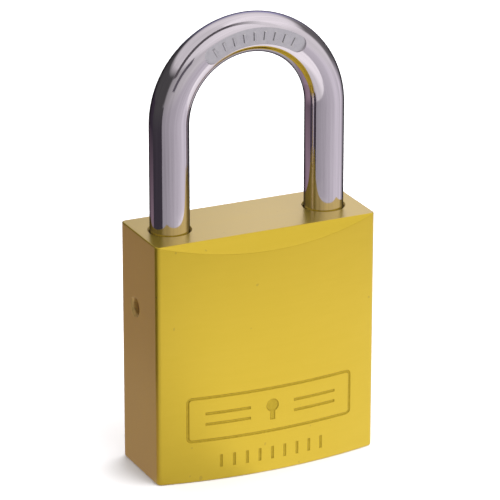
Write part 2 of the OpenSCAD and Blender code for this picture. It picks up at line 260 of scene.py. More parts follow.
class Mat:
    """A node material with a Principled shader, and short words for the nodes it is made from."""

    def __init__(self, name, **inputs):
        self.m = bpy.data.materials.new(name)
        self.m.use_nodes = True
        self.t = self.m.node_tree
        self.p = self.t.nodes["Principled BSDF"]
        for k, v in inputs.items():
            self.set(k, v)
        self.obj = self.t.nodes.new("ShaderNodeTexCoord").outputs["Object"]

    def set(self, key, value):
        self.put(self.p.inputs[key.replace("_", " ").title().replace("Ior", "IOR")], value)

    def put(self, socket, value):
        if isinstance(value, bpy.types.NodeSocket):
            self.t.links.new(value, socket)
        elif isinstance(value, tuple) and len(value) == 3 and socket.type == "RGBA":
            socket.default_value = (*value, 1.0)
        else:
            socket.default_value = value

    def scaled(self, scale):
        """Object coordinates that are stretched where scale is small."""
        n = self.t.nodes.new("ShaderNodeMapping")
        self.put(n.inputs["Vector"], self.obj)
        n.inputs["Scale"].default_value = scale
        return n.outputs["Vector"]

    def noise(self, scale, detail=2.0, rough=0.5, src=None):
        n = self.t.nodes.new("ShaderNodeTexNoise")
        self.put(n.inputs["Vector"], src or self.obj)
        n.inputs["Scale"].default_value = scale
        n.inputs["Detail"].default_value = detail
        n.inputs["Roughness"].default_value = rough
        return n.outputs["Fac"]

    def math(self, op, a, b=0.0):
        n = self.t.nodes.new("ShaderNodeMath")
        n.operation = op
        for s, v in zip(n.inputs, (a, b)):
            self.put(s, v)
        return n.outputs[0]

    def length(self, a, b):
        """Length of the hypotenuse over a and b."""
        squares = self.math("ADD", self.math("MULTIPLY", a, a), self.math("MULTIPLY", b, b))
        return self.math("SQRT", squares)

    def span(self, value, lo, hi, out_lo, out_hi):
        """value, with lo..hi carried over to out_lo..out_hi."""
        n = self.t.nodes.new("ShaderNodeMapRange")
        for s, v in zip(n.inputs, (value, lo, hi, out_lo, out_hi)):
            self.put(s, v)
        return n.outputs[0]

    def mix(self, fac, a, b):
        n = self.t.nodes.new("ShaderNodeMix")
        n.data_type = "RGBA"
        self.put(n.inputs[0], fac)
        self.put(n.inputs[6], a)
        self.put(n.inputs[7], b)
        return n.outputs[2]

    def axes(self, src=None):
        n = self.t.nodes.new("ShaderNodeSeparateXYZ")
        self.put(n.inputs[0], src or self.obj)
        return n.outputs

    def along_bar(self):
        """Coordinates that hardly change along the shackle's bar: a noise becomes streaks."""
        x, y, z = self.axes()
        dx = self.math("SUBTRACT", x, SH_X * MM)
        dz = self.math("MAXIMUM", self.math("SUBTRACT", z, ARCH_Z * MM), 0.0)
        rho = self.length(dx, dz)
        n = self.t.nodes.new("ShaderNodeCombineXYZ")
        for s, v in zip(n.inputs, (rho, y, self.math("MULTIPLY", self.math("ADD", x, z), 0.02))):
            self.put(s, v)
        return n.outputs[0]

    def bump(self, height, strength=0.2, distance=0.00005, base=None):
        n = self.t.nodes.new("ShaderNodeBump")
        n.inputs["Strength"].default_value = strength
        n.inputs["Distance"].default_value = distance
        self.put(n.inputs["Height"], height)
        if base is not None:
            self.put(n.inputs["Normal"], base)
        return n.outputs["Normal"]


def anodised():
    a = Mat("anodised_yellow", metallic=0.93, specular_ior_level=0.2, coat_weight=0.85,
            coat_roughness=0.28, coat_ior=1.5)
    cloud = a.noise(90, 3, 0.55)
    fine = a.noise(5200, 2, 0.6)
    brushed = a.noise(900, 3, 0.6, a.scaled((0.06, 1.0, 1.0)))
    tone = a.math("ADD", a.math("MULTIPLY", cloud, 0.6), a.math("MULTIPLY", brushed, 0.4))
    col = a.mix(a.span(tone, 0.35, 0.65, 0, 1), (0.715, 0.510, 0.019), (0.745, 0.535, 0.024))
    speck = a.math("GREATER_THAN", a.noise(700, 1, 0.4), 0.79)
    col = a.mix(a.math("MULTIPLY", speck, 0.35), col, (0.42, 0.27, 0.03))
    a.set("base_color", col)
    a.set("roughness", a.span(tone, 0.3, 0.7, 0.30, 0.38))
    n1 = a.bump(fine, 0.22, 0.00002)
    a.set("normal", a.bump(brushed, 0.10, 0.00003, n1))
    return a.m


def engraved():
    a = Mat("anodised_groove_painted_shade", metallic=0.85, coat_weight=0.05, coat_roughness=0.3)
    # the grooves' colour is darker than the body's: this is painted shade in the engraved lines;
    # the thin coat is their own finish
    a.set("base_color", a.mix(a.noise(2500, 3), (0.50, 0.355, 0.028), (0.62, 0.455, 0.036)))
    a.set("roughness", a.span(a.noise(1800), 0.3, 0.7, 0.36, 0.52))
    a.set("normal", a.bump(a.noise(4000, 2), 0.4, 0.00003))
    return a.m


def bored():
    a = Mat("anodised_bore_painted_shade", metallic=0.6)
    rings = a.math("SINE", a.math("MULTIPLY", a.axes()[2], 26000.0))
    # the holes' colour is darker than the body's: this is painted shade inside the bores, the
    # pocket and the countersink; the rings are turning marks
    a.set("base_color", a.mix(a.noise(1500, 3), (0.46, 0.31, 0.10), (0.60, 0.41, 0.13)))
    a.set("roughness", a.span(a.noise(2200), 0.3, 0.7, 0.42, 0.6))
    a.set("normal", a.bump(rings, 0.25, 0.00003))
    return a.m


def chrome(name="shackle_chrome", tint=(0.82, 0.77, 0.81), low=0.05, high=0.11):
    a = Mat(name, metallic=1.0, specular_tint=(0.03, 0.03, 0.04))
    streak = a.noise(1900, 4, 0.65, a.along_bar())
    a.set("base_color", a.mix(a.span(streak, 0.4, 0.7, 0, 1), tint, tuple(c * 0.86 for c in tint)))
    swirl = a.noise(500, 2, 0.5)
    a.set("roughness", a.span(a.math("ADD", streak, swirl), 0.7, 1.35, low, high))
    a.set("normal", a.bump(streak, 0.06, 0.00002, a.bump(a.noise(70, 1), 0.04, 0.0001)))
    return a.m


def stamped():
    a = Mat("shackle_stamped", metallic=1.0)
    a.set("base_color", a.mix(a.noise(1400, 4), (0.60, 0.60, 0.61), (0.76, 0.75, 0.76)))
    a.set("roughness", a.span(a.noise(900, 3), 0.3, 0.7, 0.24, 0.42))
    a.set("normal", a.bump(a.noise(1900, 3, 0.6), 0.45, 0.00005))
    return a.m


def steel(name, dark, light, low, high, ring_axis=None, pitch=30000.0):
    """A machined metal with turning marks round Z or X or on its faces, or with a grain."""
    a = Mat(name, metallic=1.0)
    x, y, z = a.axes()
    if ring_axis == "z":
        lines = a.math("SINE", a.math("MULTIPLY", z, pitch))
    elif ring_axis == "x":
        lines = a.math("SINE", a.math("MULTIPLY", x, pitch))
    elif ring_axis == "face":
        dx = a.math("SUBTRACT", x, SH_X * MM)
        lines = a.math("SINE", a.math("MULTIPLY", a.length(dx, y), pitch))
    else:
        lines = a.noise(3000, 3, 0.6, a.scaled((1.0, 0.1, 1.0)))
    wear = a.noise(700, 4, 0.6)
    a.set("base_color", a.mix(wear, dark, light))
    a.set("roughness", a.span(wear, 0.3, 0.7, low, high))
    a.set("normal", a.bump(lines, 0.12, 0.00002, a.bump(wear, 0.1, 0.00003)))
    return a.m


M_BODY, M_GROOVE, M_BORE = anodised(), engraved(), bored()
M_CHROME, M_STAMP = chrome(), stamped()
M_SHELL = steel("shell_brass", (0.50, 0.34, 0.12), (0.66, 0.47, 0.19), 0.22, 0.36, "face", 24000.0)
M_PLUG = steel("plug_brass", (0.58, 0.41, 0.15), (0.74, 0.55, 0.24), 0.16, 0.28, "face", 30000.0)
M_KEYPIN = steel("key_pin_brass", (0.55, 0.33, 0.13), (0.70, 0.45, 0.20), 0.18, 0.30, "x")
M_COVER = steel("cover_brass", (0.50, 0.36, 0.15), (0.62, 0.47, 0.20), 0.25, 0.40)
M_BALL = chrome("ball_steel", (0.72, 0.72, 0.74), 0.04, 0.08)
M_CAM = steel("cam_steel", (0.30, 0.28, 0.26), (0.44, 0.42, 0.38), 0.35, 0.55, "face")
M_DARK = steel("dark_steel", (0.045, 0.043, 0.045), (0.11, 0.105, 0.10), 0.34, 0.52)
M_PIN = steel("pin_bronzed", (0.44, 0.28, 0.11), (0.62, 0.42, 0.17), 0.40, 0.55)
M_SPRING = steel("spring_steel", (0.40, 0.40, 0.42), (0.60, 0.60, 0.63), 0.18, 0.30, "z", 12000.0)
M_DRIVER = steel("driver_steel", (0.48, 0.47, 0.45), (0.64, 0.63, 0.60), 0.18, 0.30, "x")


# ---------------------------------------------------------------- the engraving
MARK_Z = 10.7                            # height of the middle of the frame
MARK_TOP = MARK_Z + 5                    # the front is smooth above this height
LINE = 0.5                               # width of an engraved line
FRAME_W, FRAME_H, FRAME_R = 29.0, 7.8, 0.9
DASH_X, DASH_Z, DASH_W = 7.6, 0.9, 7.6   # the four bars in the frame: place and length
HOLE_R, HOLE_Z = 1.1, MARK_Z + 0.7       # the keyhole's disc
STEM_W, STEM_H, STEM_LOW = 0.9, 2.2, MARK_Z - 1.8
TICKS, TICK_STEP, TICK_Z, TICK_H = 9, 2.2, 3.2, 2.2
GROOVE_RUN, GROOVE_DEPTH = 0.13, 0.15    # slope and depth of a groove


def rounded(cx, cz, w, h, r, step=0.5):
    """Outline of a rounded rectangle, with points up to step apart along its straight sides."""
    corners = [(1, -1, -90), (1, 1, 0), (-1, 1, 90), (-1, -1, 180)]
    arcs = [[(cx + sx * (w / 2 - r) + r * math.cos(math.radians(a0 + 15 * k)),
              cz + sz * (h / 2 - r) + r * math.sin(math.radians(a0 + 15 * k))) for k in range(7)]
            for sx, sz, a0 in corners]
    out = []
    for arc, following in zip(arcs, arcs[1:] + arcs[:1]):
        a, b = arc[-1], following[0]
        n = max(1, math.ceil(math.dist(a, b) / step))
        dx, dz = (b[0] - a[0]) / n, (b[1] - a[1]) / n
        out += arc + [(a[0] + dx * k, a[1] + dz * k) for k in range(1, n)]
    return out


def box_gap(x, z, cx, cz, w, h, r):
    """Distance from a rounded rectangle, negative inside it."""
    qx, qz = abs(x - cx) - (w / 2 - r), abs(z - cz) - (h / 2 - r)
    return math.hypot(max(qx, 0), max(qz, 0)) + min(max(qx, qz), 0) - r


def keyhole(grow):
    """Outline of the pictogram: a disc on a stem."""
    r, half, low = HOLE_R + grow, STEM_W / 2 + grow, STEM_LOW - grow
    a0 = math.asin(half / r)
    turn = np.linspace(a0 - math.pi / 2, 3 / 2 * math.pi - a0, 29)
    return [(-half, low), (half, low)] + [(r * math.cos(a), HOLE_Z + r * math.sin(a)) for a in turn]


def keyhole_gap(x, z):
    """Distance from the pictogram, negative inside it."""
    return min(math.hypot(x, z - HOLE_Z) - HOLE_R,
               box_gap(x, z, 0, STEM_LOW + STEM_H / 2, STEM_W, STEM_H, 0.0))


def engraved_shapes():
    """(loops, distance function) of each engraved shape on the front: the frame, the four bars in
    it, the keyhole between them and the row of ticks below."""
    g = GROOVE_RUN
    shapes = []

    def bar(cx, cz, w, h, r=0.06):
        loops = [rounded(cx, cz, w, h, r), rounded(cx, cz, w - 2 * g, h - 2 * g, max(r - g, 0.02))]
        shapes.append((loops, lambda x, z: box_gap(x, z, cx, cz, w, h, r)))

    w, h, r = FRAME_W, FRAME_H, FRAME_R
    wi, hi, ri = w - 2 * LINE, h - 2 * LINE, r - LINE
    ring = [rounded(0, MARK_Z, w, h, r), rounded(0, MARK_Z, w - 2 * g, h - 2 * g, r - g),
            rounded(0, MARK_Z, wi + 2 * g, hi + 2 * g, ri + g), rounded(0, MARK_Z, wi, hi, ri)]
    shapes.append((ring, lambda x, z: max(box_gap(x, z, 0, MARK_Z, w, h, r),
                                          -box_gap(x, z, 0, MARK_Z, wi, hi, ri))))
    for i in (-1, 1):
        for j in (-1, 1):
            bar(i * DASH_X, MARK_Z + j * DASH_Z, DASH_W, LINE)
    shapes.append(([keyhole(0), keyhole(-g)], keyhole_gap))
    for i in range(TICKS):
        bar((i - TICKS // 2) * TICK_STEP, TICK_Z, LINE, TICK_H)
    return shapes


# ---------------------------------------------------------------- the block
def barrel(x):
    """Half thickness of the block at x."""
    return math.sqrt(FACE_R * FACE_R - x * x) - FACE_C


def half_chord(r, off):
    """Half the width of a circle of radius r, off its middle."""
    return math.sqrt(max(0.0, r * r - off * off))


TOP_R, LOW_R = 0.20, 0.28                # edge rounding at the top and at the bottom
FACET_N = unit((FACET_DROP, BULGE))      # the facet's normal as (outwards, up)
ROOM_R, ROOM_END, ROOM_HALF = 7.05, 15.75, 4.05     # pocket: disc, far end and half width
ROOM_RIM = 0.2                           # chamfer at the pocket's mouth


def facet_corners(b):
    """Centres of the two fillets on a column that bulges by b: (outwards, height) each."""
    low = (b - TOP_R, H + (-TOP_R - FACET_N[0] * (b - TOP_R)) / FACET_N[1])
    top = ((FACET_N[1] * TOP_R - TOP_R) / FACET_N[0], H - TOP_R)
    if low[0] <= top[0]:
        low = top = (b - TOP_R, H - TOP_R)
    return low, top


def columns():
    """Upright columns round the block, counter-clockwise, with the first and last index of each
    part. A column is (wall point, direction of the facet, wall normal, bulge)."""
    cx = W / 2 - EDGE_R
    cy = math.sqrt((FACE_R - EDGE_R) ** 2 - cx * cx) - FACE_C
    t0 = math.atan2(cx, cy + FACE_C)
    tx = cx + EDGE_R * math.sin(t0)
    out, marks = [], {}

    def face(sy):
        for x in np.linspace(-tx, tx, 63) * -sy:
            y = barrel(x)
            n = unit((x, sy * (y + FACE_C)))
            out.append((np.array((x, sy * y)), np.array((0.0, sy)), n, y - SIDE_T))

    def corner(sx, sy, a0, a1):
        for a in np.linspace(a0, a1, 9):
            n = np.array((sx * math.sin(a), sy * math.cos(a)))
            even = (a - t0) / (math.pi / 2 - t0) * math.pi / 2
            d = np.array((sx * math.sin(even), sy * math.cos(even)))
            y = cy + EDGE_R * math.cos(a)
            out.append((np.array((sx * cx, sy * cy)) + EDGE_R * n, d, n, max(0.0, y - SIDE_T)))

    def mark(name, fn, *args):
        lo = len(out)
        fn(*args)
        marks[name] = (lo, len(out) - 1)

    mark("front", face, -1)
    mark("fr", corner, 1, -1, t0, math.pi / 2)
    mark("br", corner, 1, 1, math.pi / 2, t0)
    mark("back", face, 1)
    mark("bl", corner, -1, 1, t0, math.pi / 2)
    mark("fl", corner, -1, -1, math.pi / 2, t0)
    return out, marks, cy


def rims(b, cols):
    """The rounded bottom edge and the two rounded edges of the sloped facet."""
    phi = math.atan2(FACET_N[1], FACET_N[0])
    low, top = [], []

    def fillet(w, d, out, z, r, t, n):
        """Point and normal at angle t of a rounding whose centre is `out` beyond the wall point."""
        up, across = math.sin(t), math.cos(t)
        return (*(w + d * (out + r * across)), z + r * up), (*(n * across), up)

    for w, d, n, bulge in cols:
        lo, up = facet_corners(bulge)
        low.append([fillet(w, d, -LOW_R, LOW_R, LOW_R, t, n)
                    for t in np.linspace(-math.pi / 2, 0, 6)])
        turning = [fillet(w, d, lo[0] - bulge, lo[1], TOP_R, phi * k / 4, unit(n * (4 - k) + d * k))
                   for k in range(5)]
        top.append(turning + [fillet(w, d, up[0] - bulge, up[1], TOP_R, t, d)
                              for t in np.linspace(phi, math.pi / 2, 6)])
    points = []
    for side in (low, top):
        points.append([[p for p, _ in column] for column in side])
        b.grid(points[-1], [[n for _, n in column] for column in side], closed=True)
    return points


def front_wall(b, cols, low_p, top_p, i0, i1):
    """The engraved front: smooth wall, and grooves with flat facets."""
    shapes = engraved_shapes()
    xs = [p[-1][0] for p in low_p[i0:i1 + 1]]
    bottom = [(x, LOW_R) for x in xs]
    top = [(x, p[0][2]) for x, p in zip(xs, top_p[i0:i1 + 1])]

    def gap(x, z):
        return min(f(x, z) for _, f in shapes)

    def place(x, z):
        share = min(1.0, max(0.0, -gap(x, z) / GROOVE_RUN)) if z < MARK_TOP else 0.0
        return x, GROOVE_DEPTH * share - barrel(x), z

    dots = [(x, z) for x in xs[1:-1] for z in np.arange(1.0, H - 3.2, 1.5)
            if z > MARK_TOP or gap(x, z) > 0.12]
    loops = [bottom + top[::-1]] + [lp for lps, _ in shapes for lp in lps]
    b.patch(loops, place, lambda x, z: unit((x, -(barrel(x) + FACE_C), 0)), inside=lambda s: True,
            dots=dots, rough=lambda x, z: z < MARK_TOP and gap(x, z) < -1e-4)


def tube(b, outline0, z0, outline1, z1, mat):
    """Flat strips between two outlines of equally many points, facing inwards."""
    for k in range(len(outline0)):
        (xa, ya), (xb, yb) = outline0[k], outline0[(k + 1) % len(outline0)]
        (xc, yc), (xd, yd) = outline1[(k + 1) % len(outline1)], outline1[k]
        n = unit((-(yb - ya), xb - xa, 0.0))
        b.flat(((xa, ya, z0), (xb, yb, z0), (xc, yc, z1), (xd, yd, z1)), n, mat)


def room(grow):
    """Outline of the pocket for the cylinder: a disc with a block towards the toe side."""
    r, half = ROOM_R + grow, ROOM_HALF + grow
    a0 = math.asin(half / r)
    ring = [(SH_X + r * math.cos(a), r * math.sin(a)) for a in np.linspace(a0, TAU - a0, 73)]
    return ring + [(SH_X + ROOM_END + grow, -half), (SH_X + ROOM_END + grow, half)]


def border(us, vs):
    """Outline of a field of us by vs, with all their values along its edges."""
    return ([(u, vs[0]) for u in us] + [(us[-1], v) for v in vs[1:-1]]
            + [(u, vs[-1]) for u in us[::-1]] + [(us[0], v) for v in vs[-2:0:-1]])


def round_wall(b, x, r, low, high, mouths=()):
    """Inside of a round hole at x, laid out as (length round it, height). Each mouth is
    (side, y, z, radius) of a hole along X that opens in it."""
    ss = [r * math.pi * (2 * k / ROUND_N - 0.5) for k in range(ROUND_N + 1)]
    zs = list(np.linspace(low, high, max(3, round((high - low) / 1.2))))
    holes = [[(r * (math.pi * (side < 0) + side * math.asin(y / r)), z)
              for y, z in circle(*hole, SMALL_N)] for side, *hole in mouths]

    def clear(s, z):
        y, ahead = r * math.sin(s / r), math.cos(s / r)
        return all(ahead * side < 0 or math.hypot(y - my, z - mz) > mr + 0.3
                   for side, my, mz, mr in mouths)

    b.patch([border(ss, zs), *holes],
            lambda s, z: (x + r * math.cos(s / r), r * math.sin(s / r), z),
            lambda s, z: (-math.cos(s / r), -math.sin(s / r), 0),
            dots=[(s, z) for s in ss[1:-1] for z in zs[1:-1] if clear(s, z)], mat=2)


def cross_tube(b, y0, z0, r, end_a, end_b):
    """Wall of a hole along X between two other walls, which stand at end_a(y) and end_b(y)."""
    ring = circle(y0, z0, r, SMALL_N)
    b.grid([[(end_a(y), y, z), (end_b(y), y, z)] for y, z in ring],
           [[(0, y0 - y, z0 - z)] * 2 for y, z in ring], closed=True, mat=2)


def bore(b, x, floor, mouths):
    """Mouth and wall of a leg's bore."""
    top = H - BORE_RIM
    lathe(b, [(BORE_R + BORE_RIM, H), (BORE_R, top)], (x, 0, 0), (0, 0, 1))
    round_wall(b, x, BORE_R, floor, top, mouths)


def disc(b, x, z, r, up, hole=None):
    """Flat round face, with a round hole in its middle where one is given."""
    loops = [circle(x, 0, r)] + ([circle(x, 0, hole)] if hole else [])
    b.patch(loops, lambda px, py: (px, py, z), lambda px, py: (0, 0, up), mat=2)


SINK_R, SINK_D = PIN_R + 0.4, 0.4        # countersink of the cross hole
SCREW_HOLE_R = 1.35


def inside(b):
    """All that is hollow in the block: both bores, the ball channel, the cam's room, the pocket."""
    channel = (0, BALL_Z, CHANNEL_R)
    cross = (PIN_Y, PIN_Z, PIN_R)
    bore(b, HEEL_X, HEEL_FLOOR, [(1, *channel), (-1, *cross)])
    bore(b, TOE_X, TOE_FLOOR, [(-1, *channel)])
    disc(b, HEEL_X, HEEL_FLOOR, BORE_R, 1)
    disc(b, TOE_X, TOE_FLOOR, BORE_R, 1, SCREW_HOLE_R)
    for x, sgn in ((HEEL_X, -1), (TOE_X, 1)):
        cross_tube(b, *channel, lambda y: SH_X + sgn * half_chord(CAM_R, y),
                   lambda y: x - sgn * half_chord(BORE_R, y))
    cross_tube(b, *cross, lambda y: -W / 2 + SINK_D, lambda y: HEEL_X - half_chord(BORE_R, y))

    room_top, cam_ceiling = PLUG_TOP - 0.4, CAM_TOP + 0.2
    tube(b, room(ROOM_RIM), 0, room(0), ROOM_RIM, 0)
    tube(b, room(0), ROOM_RIM, room(0), SHELL_TOP, 2)
    a0 = math.asin(ROOM_HALF / ROOM_R)
    near = [(SH_X + ROOM_R * math.cos(a), ROOM_R * math.sin(a)) for a in np.linspace(a0, -a0, 15)]
    b.patch([near + room(0)[-2:], circle(TOE_X, 0, SCREW_HOLE_R)],
            lambda x, y: (x, y, SHELL_TOP), lambda x, y: (0, 0, -1), mat=2)
    round_wall(b, TOE_X, SCREW_HOLE_R, SHELL_TOP, TOE_FLOOR)
    round_room = room(0)[:-2] + near[-2:0:-1]
    tube(b, round_room, SHELL_TOP, round_room, room_top, 2)
    b.patch([round_room, circle(SH_X, 0, CAM_R)], lambda x, y: (x, y, room_top),
            lambda x, y: (0, 0, -1), mat=2)
    round_wall(b, SH_X, CAM_R, room_top, cam_ceiling, [(1, *channel), (-1, *channel)])
    disc(b, SH_X, cam_ceiling, CAM_R, -1)


def block():
    b = Build()
    cols, marks, cy = columns()
    low_p, top_p = rims(b, cols)

    def wall(i0, i1):
        b.grid([(low_p[i][-1], top_p[i][0]) for i in range(i0, i1 + 1)],
               [[(*cols[i][2], 0.0)] * 2 for i in range(i0, i1 + 1)])

    front_wall(b, cols, low_p, top_p, *marks["front"])
    wall(marks["fr"][0], marks["br"][1])
    wall(*marks["back"])
    wall(*marks["bl"])
    wall(*marks["fl"])

    # the narrow side with the cross hole
    zt, x_side = top_p[marks["fl"][0]][0][2], -W / 2
    side = [(-cy, LOW_R), (cy, LOW_R), (cy, zt), (-cy, zt)]
    b.patch([side, circle(PIN_Y, PIN_Z, SINK_R, SMALL_N)],
            lambda y, z: (x_side, y, z), lambda y, z: (-1, 0, 0))
    # the countersink has the holes' darker colour, which paints its shade
    lathe(b, [(SINK_R, 0), (PIN_R, -SINK_D)], (x_side, PIN_Y, PIN_Z), (-1, 0, 0), mat=2, n=SMALL_N)

    # top with the two bores, underside with the pocket for the cylinder
    holes = [circle(x, 0, BORE_R + BORE_RIM) for x in (HEEL_X, TOE_X)]
    b.patch([[p[-1][:2] for p in top_p], *holes], lambda x, y: (x, y, H), lambda x, y: (0, 0, 1))
    b.patch([[p[0][:2] for p in low_p], room(ROOM_RIM)],
            lambda x, y: (x, y, 0), lambda x, y: (0, 0, -1))
    inside(b)
    body = b.done("block", [M_BODY, M_GROOVE, M_BORE], "lock_body")
    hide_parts("body")


# ---------------------------------------------------------------- the shackle
NOTCH_R = BALL_R + 0.15
NOTCH_X = 8.825                          # notch axis from the middle of the shackle
STAMP_HALF, STAMP_DEPTH = 1.36, 0.35     # half width and depth of the stamped flat
STAMP_A0, STAMP_A1 = math.radians(57), math.radians(123)
TICK_N, TICK_GAP, TICK_SIZE = 9, 1.75, (0.55, 1.55)     # raised ticks in the stamped flat
TICK_RISE, TICK_SLOPE = 0.16, 0.12
NECK_R, FLANGE_H, PILOT_R = 1.75, 2.5, 1.6
SHOULDER_Z = PIN_Z + PIN_R + 0.75        # where the heel leg's full bar begins, above the pin
HEEL_EDGE, TOE_EDGE = 0.2, 0.6           # chamfers of the leg ends


def leg(b, x, sgn, low):
    """A straight leg from low up to the arch, with the notch that the ball goes into. The bar's
    wall is laid out as (length round it, height), and the notch's as (y, length up it)."""
    ss = [BAR_R * math.pi * (2 * k / ROUND_N - 1) for k in range(ROUND_N + 1)]
    zs = list(np.linspace(low, ARCH_Z, 26))
    dist = abs(x - SH_X) - NOTCH_X
    high = half_chord(NOTCH_R, dist - BAR_R)
    notch = []
    for t in np.arange(64) * TAU / 64:
        dz = high * math.sin(t)
        c = min(1.0, (dist - half_chord(NOTCH_R, dz)) / BAR_R)
        notch.append((math.copysign(BAR_R * math.acos(c), math.cos(t)), BALL_Z + dz))
    dots = [(s, z) for s in ss[1:-1] for z in zs[1:-1]
            if abs(z - BALL_Z) > high + 0.4 or abs(s) > 3.9]
    b.patch([border(ss, zs), notch],
            lambda s, z: (x + sgn * BAR_R * math.cos(s / BAR_R), BAR_R * math.sin(s / BAR_R), z),
            lambda s, z: (sgn * math.cos(s / BAR_R), math.sin(s / BAR_R), 0), dots=dots)

    a_end = math.acos((dist - BAR_R) / NOTCH_R)
    rim = [(BAR_R * math.sin(s / BAR_R), NOTCH_R * math.asin((z - BALL_Z) / NOTCH_R))
           for s, z in notch]
    inner = [(half_chord(BAR_R, dist - NOTCH_R * math.cos(a)) * k / 8, NOTCH_R * a)
             for a in np.linspace(-a_end, a_end, 25)[2:-2] for k in range(-7, 8)]
    b.patch([rim], lambda y, q: (x + sgn * (dist - NOTCH_R * math.cos(q / NOTCH_R)), y,
                                 BALL_Z + NOTCH_R * math.sin(q / NOTCH_R)),
            lambda y, q: (sgn * math.cos(q / NOTCH_R), 0, -math.sin(q / NOTCH_R)), dots=inner)


def ring_point(phi, v):
    """Point on the arch at arch angle phi and tube angle v, where v = 0 faces the front."""
    rho = ARCH_R + BAR_R * math.sin(v)
    return SH_X + rho * math.cos(phi), -BAR_R * math.cos(v), ARCH_Z + rho * math.sin(phi)


def stamp_outline(n_side=40, n_cap=14):
    """Outline of the stamped flat on the arch: (length along the ring, offset outwards) pairs."""
    r, s0, s1 = STAMP_HALF, ARCH_R * STAMP_A0, ARCH_R * STAMP_A1
    side = [(s, -r) for s in np.linspace(s0, s1, n_side + 1)]
    turn = np.linspace(0, math.pi, n_cap)[1:-1]
    cap1 = [(s1 + r * math.sin(a), -r * math.cos(a)) for a in turn]
    cap0 = [(s0 - r * math.sin(a), r * math.cos(a)) for a in turn]
    return side + cap1 + [(s, r) for s, _ in side[::-1]] + cap0


def arch(b, n_phi=96):
    """The bent bar, laid out as (length along the ring, length round the bar), with a hole in its
    front for the stamped flat."""
    ps = [ARCH_R * math.pi * k / n_phi for k in range(n_phi + 1)]
    ts = [BAR_R * math.pi * (2 * k / ROUND_N - 1) for k in range(ROUND_N + 1)]
    rim = [(s, BAR_R * math.asin(off / BAR_R)) for s, off in stamp_outline()]
    s0, s1 = ARCH_R * STAMP_A0, ARCH_R * STAMP_A1

    def clear(s, t):
        return math.hypot(max(s0 - s, 0, s - s1), t) > STAMP_HALF + 0.22

    def normal(s, t):
        v, phi = t / BAR_R, s / ARCH_R
        return math.sin(v) * math.cos(phi), -math.cos(v), math.sin(v) * math.sin(phi)

    b.patch([border(ps, ts), rim], lambda s, t: ring_point(s / ARCH_R, t / BAR_R), normal,
            dots=[(p, t) for p in ps[1:-1] for t in ts[1:-1] if clear(p, t)])


def stamp(b):
    """The stamped flat, with a row of plain raised ticks, and the step round it."""
    flat_y = STAMP_DEPTH - BAR_R
    middle = ARCH_R * (STAMP_A0 + STAMP_A1) / 2
    mids = [middle + (k - TICK_N // 2) * TICK_GAP for k in range(TICK_N)]
    w, h = TICK_SIZE

    def gap(s, off):
        return min(box_gap(s, off, mid, 0, w, h, 0.1) for mid in mids)

    def place(s, off):
        up = TICK_RISE * min(1.0, max(0.0, -gap(s, off) / TICK_SLOPE))
        phi, rho = s / ARCH_R, ARCH_R + off
        return SH_X + rho * math.cos(phi), flat_y - up, ARCH_Z + rho * math.sin(phi)

    outline = stamp_outline()
    loops = [outline]
    for mid in mids:
        loops += [rounded(mid, 0, w, h, 0.1, 0.3),
                  rounded(mid, 0, w - 2 * TICK_SLOPE, h - 2 * TICK_SLOPE, 0.04, 0.3)]
    b.patch(loops, place, lambda s, off: (0, -1, 0), inside=lambda s: True, mat=1,
            rough=lambda s, off: gap(s, off) < -1e-4)
    edge = [np.array(ring_point(s / ARCH_R, math.asin(off / BAR_R))) for s, off in outline]
    for p, q in zip(edge, edge[1:] + edge[:1]):
        b.flat((p, q, (q[0], flat_y, q[2]), (p[0], flat_y, p[2])), np.cross((0, 1, 0), q - p), 0)


def shackle():
    b = Build()
    toe_low, e = H - TOE_DEPTH, HEEL_EDGE
    leg(b, HEEL_X, 1, SHOULDER_Z + e)
    leg(b, TOE_X, -1, toe_low + TOE_EDGE)
    arch(b)
    stamp(b)
    low = SH_LO[2]
    flange = low + 1.6
    top = flange + FLANGE_H
    heel = [(0, low), (PILOT_R - e, low), (PILOT_R, low + e), (PILOT_R, flange),
            (BAR_R - e, flange), (BAR_R, flange + e), (BAR_R, top - e), (BAR_R - e, top),
            (NECK_R, top), (NECK_R, SHOULDER_Z), (BAR_R - e, SHOULDER_Z), (BAR_R, SHOULDER_Z + e)]
    lathe(b, heel, (HEEL_X, 0, 0), (0, 0, 1), creases=range(1, len(heel) - 1))
    toe = [(0, toe_low), (BAR_R - TOE_EDGE, toe_low), (BAR_R, toe_low + TOE_EDGE)]
    lathe(b, toe, (TOE_X, 0, 0), (0, 0, 1), creases=[1])
    bar = b.done("shackle_bar", [M_CHROME, M_STAMP], "shackle_body")
    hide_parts("shackle")


block()
shackle()


# ---------------------------------------------------------------- looks of the CAD pieces
LOOKS = {                                # by the start of a node's name; the clip has the plug's
    "cylinder_shell": M_SHELL, "plug": M_PLUG, "spring_cover": M_COVER, "cam": M_CAM,
    "heel_pin": M_PIN, "cylinder_screw": M_DARK, "shackle_spring": M_SPRING, "ball": M_BALL,
    "key_pin": M_KEYPIN, "driver_pin": M_DRIVER, "pin_spring": M_SPRING}
for name, ob in frame["nodes"].items():
    look = next((m for key, m in LOOKS.items() if name.startswith(key)), None)
    if look is None:                     # the block and the shackle, which are replaced
        continue
    if not ob.material_slots:
        ob.data.materials.append(look)
    for s in ob.material_slots:
        s.material = look


def spring_copy(name):
    """A copy of a CAD spring in its place, with the CAD node hidden; the CAD's mesh stays as it is.
    """
    node = frame["nodes"][name]
    ob = bpy.data.objects.new(name + "_wire", node.data.copy())
    bpy.context.scene.collection.objects.link(ob)
    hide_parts(name)
    return ob


def springs():
    """Copies of the springs that the record names for its joints. In the lock those of the driver
    pins shorten and the one under the heel leg stretches; here a copy in scale_x mode only goes
    with its joint's parent and gets its own mesh, and any other is baked in place."""
    for joint in frame["joints"]:
        for spring in joint.get("deforming_nodes", []):
            ob, (lo, hi) = spring_copy(spring["node"]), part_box(spring["node"])
            if spring["mode"] == "scale_x":
                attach(ob, joint["parent"])
                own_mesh(ob)
            else:
                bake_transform(ob)


springs()


